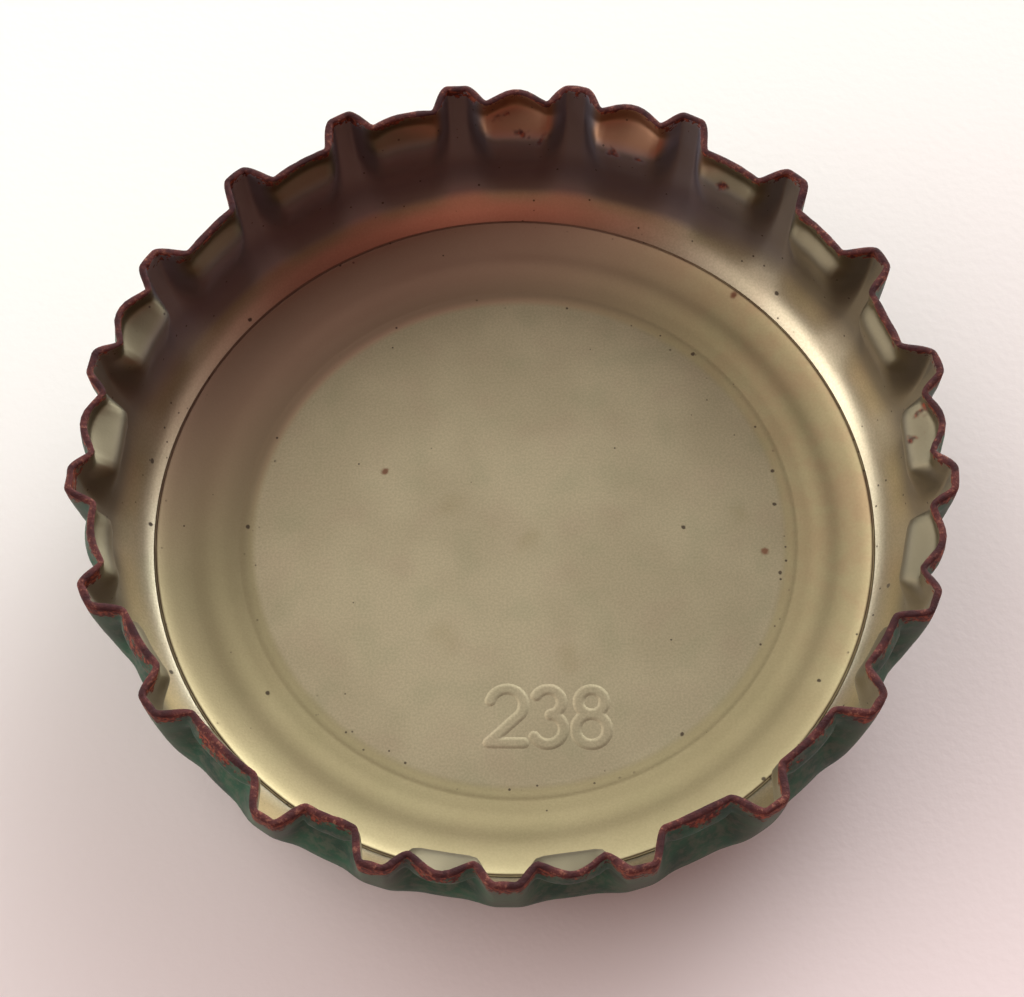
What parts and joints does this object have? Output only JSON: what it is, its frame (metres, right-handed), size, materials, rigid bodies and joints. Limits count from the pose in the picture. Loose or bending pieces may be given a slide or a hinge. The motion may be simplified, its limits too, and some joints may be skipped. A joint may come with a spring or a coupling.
{
  "type": "bottle cap",
  "caption": "Crimped steel bottle cap lying open side up, with a fluted skirt, green outside, pale gold lacquer inside and a moulded sealing liner.",
  "frame": {"origin": "centre of the closed panel's outer face, on the cap's axis; the cap rests on this face, open side up", "axes": "+Z along the cap's axis, out of the open side; -Y through the middle of one tooth; +X to the right when looking along +Y"},
  "size_m": [0.0286, 0.0289, 0.0068],
  "materials": {
    "lacquered_steel": "satin gold lacquer inside, green enamel outside, bare rusty cut edge",
    "liner_plastic": "thin clear moulded plastic over gold lacquer, satin"
  },
  "bodies": {
    "root": {"shell": "lacquered_steel", "liner": "liner_plastic"}
  },
  "joints": []
}
